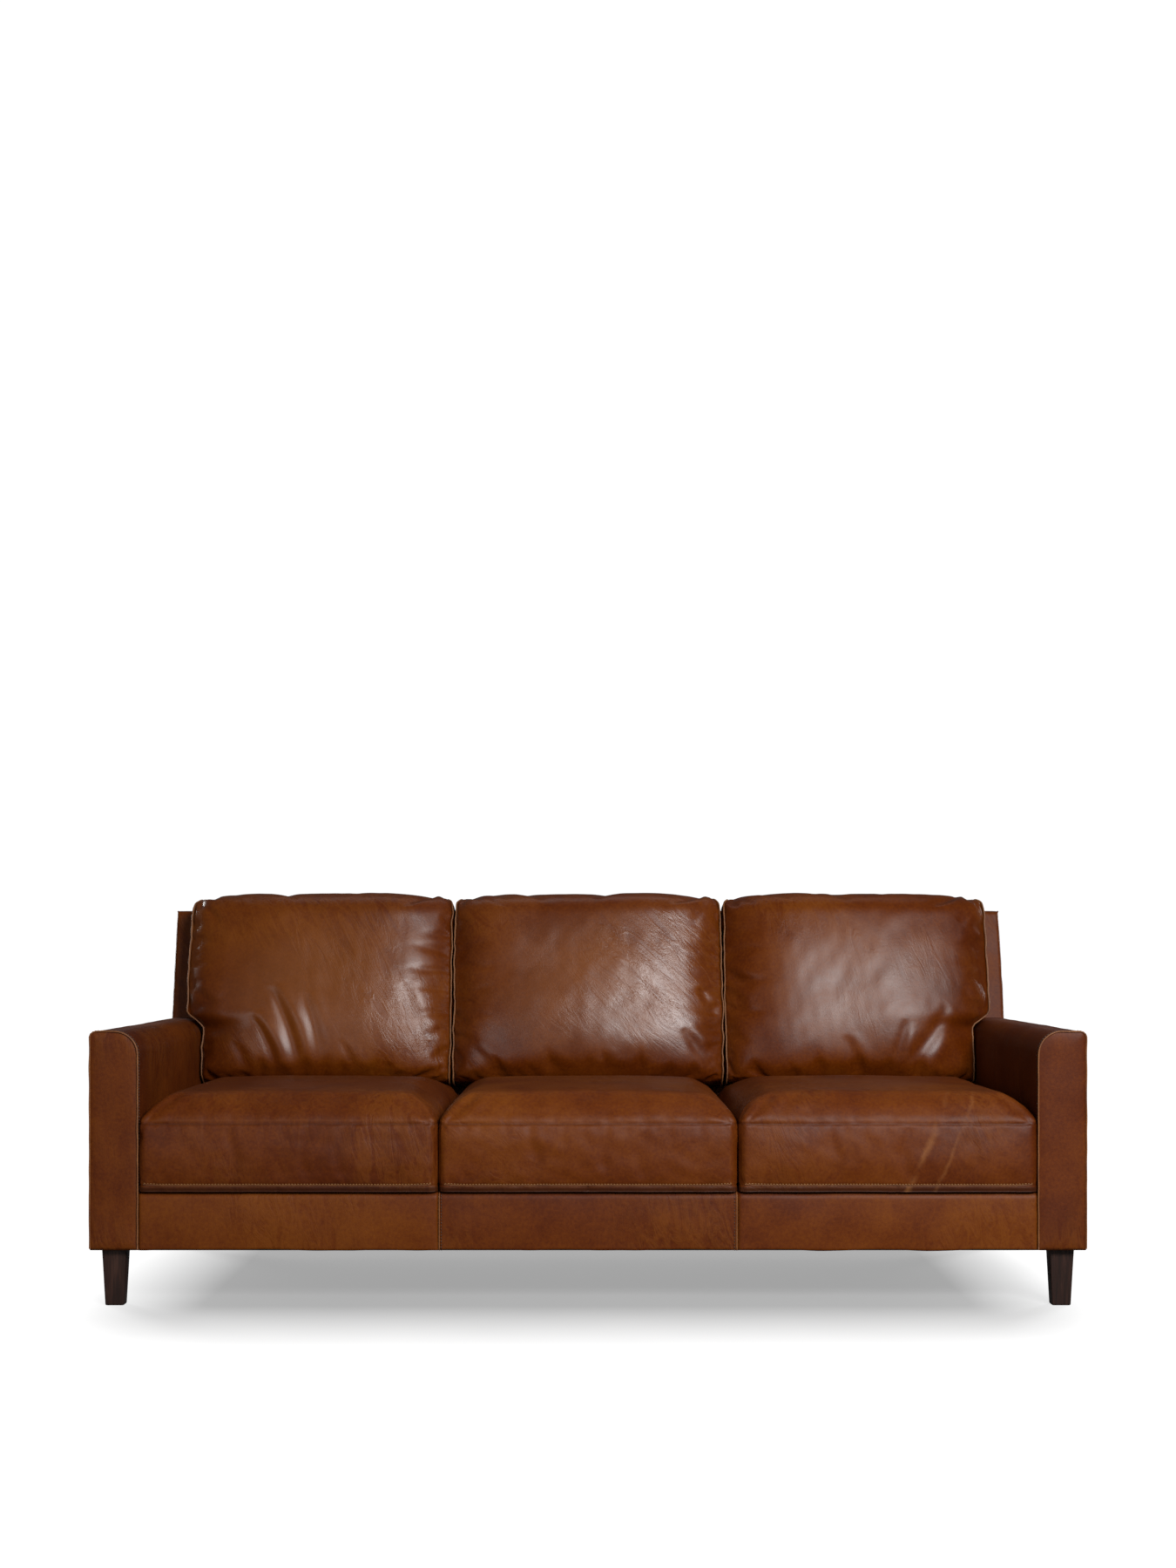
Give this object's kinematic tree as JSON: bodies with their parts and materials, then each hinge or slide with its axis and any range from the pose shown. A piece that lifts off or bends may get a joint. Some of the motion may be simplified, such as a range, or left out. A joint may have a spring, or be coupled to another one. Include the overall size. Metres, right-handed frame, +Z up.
{
  "type": "three-seat leather sofa",
  "caption": "Leather sofa with slim padded arms, loose seat and back cushions, a panelled front rail and slim tapered wooden legs.",
  "frame": {"origin": "on the floor at the centre of the footprint, under the middle of the overall box", "axes": "+Z up, the front faces -Y, +X to the right as seen from the front"},
  "size_m": [2.21, 0.95, 0.9404],
  "materials": {
    "leather": "waxed pull-up leather, cognac brown, semi-gloss, mottled",
    "leg_wood": "hardwood stained dark wenge brown, satin lacquer",
    "frame_timber": "planed pale hardwood, unfinished",
    "spring_steel": "oil-tempered spring wire, dark",
    "zinc_steel": "zinc-plated pressed steel",
    "foam": "open-cell upholstery foam",
    "fibre": "white ticking filled with fibre",
    "lining": "black non-woven cloth",
    "deck_cloth": "brown platform cloth, plain weave",
    "webbing": "elastic webbing"
  },
  "bodies": {
    "frame": {"front_rail": "frame_timber", "rear_rail": "frame_timber", "left_side_rail": "frame_timber", "right_side_rail": "frame_timber", "cross_rails": "frame_timber", "corner_blocks": "frame_timber", "left_arm_front_post": "frame_timber", "right_arm_front_post": "frame_timber", "left_arm_rear_post": "frame_timber", "right_arm_rear_post": "frame_timber", "left_arm_top_rail": "frame_timber", "right_arm_top_rail": "frame_timber", "left_back_post": "frame_timber", "right_back_post": "frame_timber", "inner_back_posts": "frame_timber", "back_top_rail": "frame_timber", "back_lower_rail": "frame_timber", "left_seat_springs": "spring_steel", "centre_seat_springs": "spring_steel", "right_seat_springs": "spring_steel", "spring_clips": "zinc_steel", "spring_tie_wires": "spring_steel", "spring_cloth": "lining", "seat_deck": "deck_cloth", "back_webbing": "webbing", "left_arm_front_panel": "leather", "right_arm_front_panel": "leather", "left_arm_inside_panel": "leather", "right_arm_inside_panel": "leather", "left_arm_outside_panel": "leather", "right_arm_outside_panel": "leather", "left_arm_padding": "foam", "right_arm_padding": "foam", "left_rail_cover": "leather", "centre_rail_cover": "leather", "right_rail_cover": "leather", "rail_padding": "foam", "inside_back_cover": "leather", "outside_back_panel": "leather", "back_padding": "foam", "dust_cover": "lining", "front_left_leg": "leg_wood", "front_right_leg": "leg_wood", "rear_left_leg": "leg_wood", "rear_right_leg": "leg_wood", "leg_plates": "zinc_steel", "leg_bolts": "zinc_steel", "plate_screws": "zinc_steel"},
    "left_seat_cushion": {"left_seat_cover": "leather", "left_seat_core": "foam"},
    "left_back_cushion": {"left_back_cushion_cover": "leather", "left_back_cushion_fill": "fibre"},
    "centre_seat_cushion": {"centre_seat_cover": "leather", "centre_seat_core": "foam"},
    "centre_back_cushion": {"centre_back_cushion_cover": "leather", "centre_back_cushion_fill": "fibre"},
    "right_seat_cushion": {"right_seat_cover": "leather", "right_seat_core": "foam"},
    "right_back_cushion": {"right_back_cushion_cover": "leather", "right_back_cushion_fill": "fibre"}
  },
  "joints": [
    {"name": "left_seat_cushion_slide", "type": "slide", "parent": "frame", "child": "left_seat_cushion", "axis": [0, -1, 0], "range_m": [0, 0.74]},
    {"name": "centre_seat_cushion_slide", "type": "slide", "parent": "frame", "child": "centre_seat_cushion", "axis": [0, -1, 0], "range_m": [0, 0.74]},
    {"name": "right_seat_cushion_slide", "type": "slide", "parent": "frame", "child": "right_seat_cushion", "axis": [0, -1, 0], "range_m": [0, 0.74]},
    {"name": "left_back_cushion_lift", "type": "slide", "parent": "frame", "child": "left_back_cushion", "axis": [0, 0.2198, 0.9755], "range_m": [0, 0.46]},
    {"name": "centre_back_cushion_lift", "type": "slide", "parent": "frame", "child": "centre_back_cushion", "axis": [0, 0.2198, 0.9755], "range_m": [0, 0.46]},
    {"name": "right_back_cushion_lift", "type": "slide", "parent": "frame", "child": "right_back_cushion", "axis": [0, 0.2198, 0.9755], "range_m": [0, 0.46]}
  ]
}
